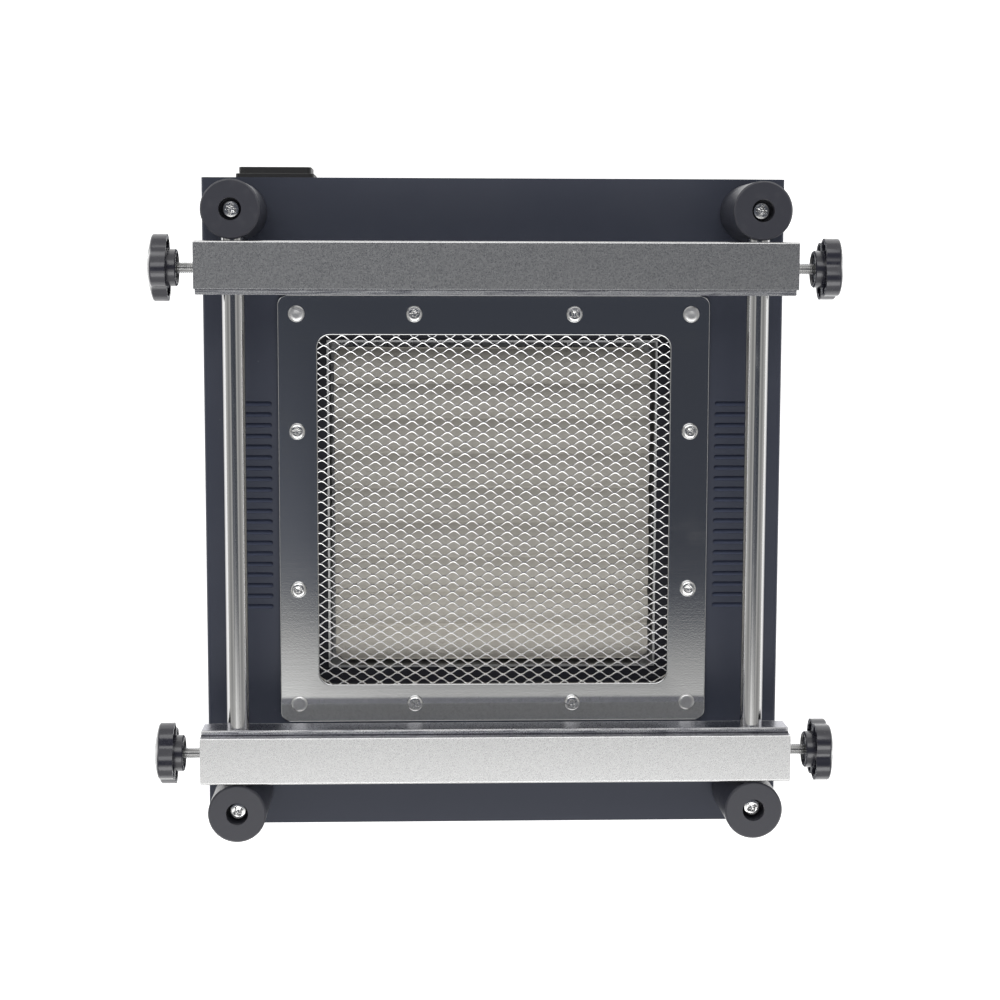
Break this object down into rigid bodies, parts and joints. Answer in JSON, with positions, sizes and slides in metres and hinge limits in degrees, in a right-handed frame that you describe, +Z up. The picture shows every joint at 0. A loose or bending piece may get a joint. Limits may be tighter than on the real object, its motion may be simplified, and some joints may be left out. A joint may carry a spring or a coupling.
{
  "type": "pcb preheater",
  "caption": "Bench preheater for circuit boards: a ceramic infrared heater under an expanded-metal grille, with stepped clamp bars that slide on rods and lock with star knobs.",
  "frame": {"origin": "on the table, under the middle of the part's plan", "axes": "+X to the right as seen from the front, +Y to the back where the inlet is, +Z up"},
  "size_m": [0.2486, 0.2518, 0.1065],
  "materials": {
    "black_paint": "semi-matte black paint",
    "window_steel": "polished stainless sheet",
    "grille_steel": "bright expanded metal",
    "tray_steel": "bare steel sheet",
    "heater_ceramic": "matt fired ceramic",
    "fibre_board": "matt fibre board",
    "screw_steel": "zinc plated",
    "black_screw": "blackened",
    "rod_chrome": "hard chrome",
    "post_black": "glossy black",
    "bar_aluminium": "bead blasted and milled",
    "knob_plastic": "glossy black",
    "display_lens": "smoked red",
    "display_black": "matt",
    "board_green": "solder resist",
    "brass": "bare brass",
    "button_grey": "matt",
    "switch_black": "fine moulded grain",
    "rocker_red": "gloss",
    "terminal_white": "matt",
    "foot_rubber": "matt"
  },
  "bodies": {
    "housing": {"top_cover": "black_paint", "base_pan": "black_paint", "heater_well": "black_paint", "window_plate": "window_steel", "grille": "grille_steel", "reflector_tray": "tray_steel", "heater_clip": "tray_steel", "tray_brackets": "tray_steel", "ceramic_heater": "heater_ceramic", "insulation_board": "fibre_board", "plate_screws": "screw_steel", "plate_nuts": "screw_steel", "plate_rivets": "screw_steel", "post_screws": "screw_steel", "post_nuts": "screw_steel", "foot_screws": "screw_steel", "foot_nuts": "screw_steel", "thermocouple": "screw_steel", "cover_screws": "black_screw", "rod_left": "rod_chrome", "rod_right": "rod_chrome", "post_rear_left": "post_black", "post_rear_right": "post_black", "post_front_left": "post_black", "post_front_right": "post_black", "display_window": "display_lens", "display_module": "display_black", "tact_switches": "display_black", "control_board": "board_green", "board_standoffs": "brass", "inlet_pins": "brass", "earth_stud": "brass", "earth_nut": "brass", "switch_body": "switch_black", "inlet_body": "switch_black", "terminal_block": "terminal_white", "solid_state_relay": "terminal_white", "feet": "foot_rubber"},
    "rear_bar": {"rear_bar": "bar_aluminium"},
    "front_bar": {"front_bar": "bar_aluminium"},
    "stud_rear_left": {"stud_rear_left": "screw_steel"},
    "stud_rear_right": {"stud_rear_right": "screw_steel"},
    "stud_front_left": {"stud_front_left": "screw_steel"},
    "stud_front_right": {"stud_front_right": "screw_steel"},
    "knob_rear_left": {"knob_rear_left": "knob_plastic"},
    "knob_rear_right": {"knob_rear_right": "knob_plastic"},
    "knob_front_left": {"knob_front_left": "knob_plastic"},
    "knob_front_right": {"knob_front_right": "knob_plastic"},
    "button_set": {"button_set": "button_grey"},
    "button_up": {"button_up": "button_grey"},
    "button_down": {"button_down": "button_grey"},
    "switch_rocker": {"switch_rocker": "rocker_red"}
  },
  "joints": [
    {"name": "rear_bar_slide", "type": "slide", "parent": "housing", "child": "rear_bar", "axis": [0, -1, 0], "range_m": [0, 0.075]},
    {"name": "front_bar_slide", "type": "slide", "parent": "housing", "child": "front_bar", "axis": [0, 1, 0], "range_m": [0, 0.075]},
    {"name": "stud_rear_left_travel", "type": "slide", "parent": "rear_bar", "child": "stud_rear_left", "axis": [-1, 0, 0], "range_m": [0, 0.0021]},
    {"name": "knob_rear_left_turn", "type": "hinge", "parent": "stud_rear_left", "child": "knob_rear_left", "pos_m": [-0.12, 0.088, 0.0945], "axis": [-1, 0, 0], "range_deg": [0, 1080]},
    {"name": "stud_rear_right_travel", "type": "slide", "parent": "rear_bar", "child": "stud_rear_right", "axis": [1, 0, 0], "range_m": [0, 0.0021]},
    {"name": "knob_rear_right_turn", "type": "hinge", "parent": "stud_rear_right", "child": "knob_rear_right", "pos_m": [0.12, 0.088, 0.0945], "axis": [1, 0, 0], "range_deg": [0, 1080]},
    {"name": "stud_front_left_travel", "type": "slide", "parent": "front_bar", "child": "stud_front_left", "axis": [-1, 0, 0], "range_m": [0, 0.0021]},
    {"name": "knob_front_left_turn", "type": "hinge", "parent": "stud_front_left", "child": "knob_front_left", "pos_m": [-0.12, -0.088, 0.0945], "axis": [-1, 0, 0], "range_deg": [0, 1080]},
    {"name": "stud_front_right_travel", "type": "slide", "parent": "front_bar", "child": "stud_front_right", "axis": [1, 0, 0], "range_m": [0, 0.0021]},
    {"name": "knob_front_right_turn", "type": "hinge", "parent": "stud_front_right", "child": "knob_front_right", "pos_m": [0.12, -0.088, 0.0945], "axis": [1, 0, 0], "range_deg": [0, 1080]},
    {"name": "button_set_press", "type": "slide", "parent": "housing", "child": "button_set", "axis": [0, 1, 0], "range_m": [0, 0.001], "stiffness_N_per_m": 800},
    {"name": "button_up_press", "type": "slide", "parent": "housing", "child": "button_up", "axis": [0, 1, 0], "range_m": [0, 0.001], "stiffness_N_per_m": 800},
    {"name": "button_down_press", "type": "slide", "parent": "housing", "child": "button_down", "axis": [0, 1, 0], "range_m": [0, 0.001], "stiffness_N_per_m": 800},
    {"name": "switch_rocker_tilt", "type": "hinge", "parent": "housing", "child": "switch_rocker", "pos_m": [0.08, -0.1191, 0.04], "axis": [1, 0, 0], "range_deg": [0, 24]}
  ],
  "couplings": [
    {"joint": "knob_rear_left_turn", "follows": "stud_rear_left_travel", "rad_per_m": 8976},
    {"joint": "knob_rear_right_turn", "follows": "stud_rear_right_travel", "rad_per_m": 8976},
    {"joint": "knob_front_left_turn", "follows": "stud_front_left_travel", "rad_per_m": 8976},
    {"joint": "knob_front_right_turn", "follows": "stud_front_right_travel", "rad_per_m": 8976}
  ]
}
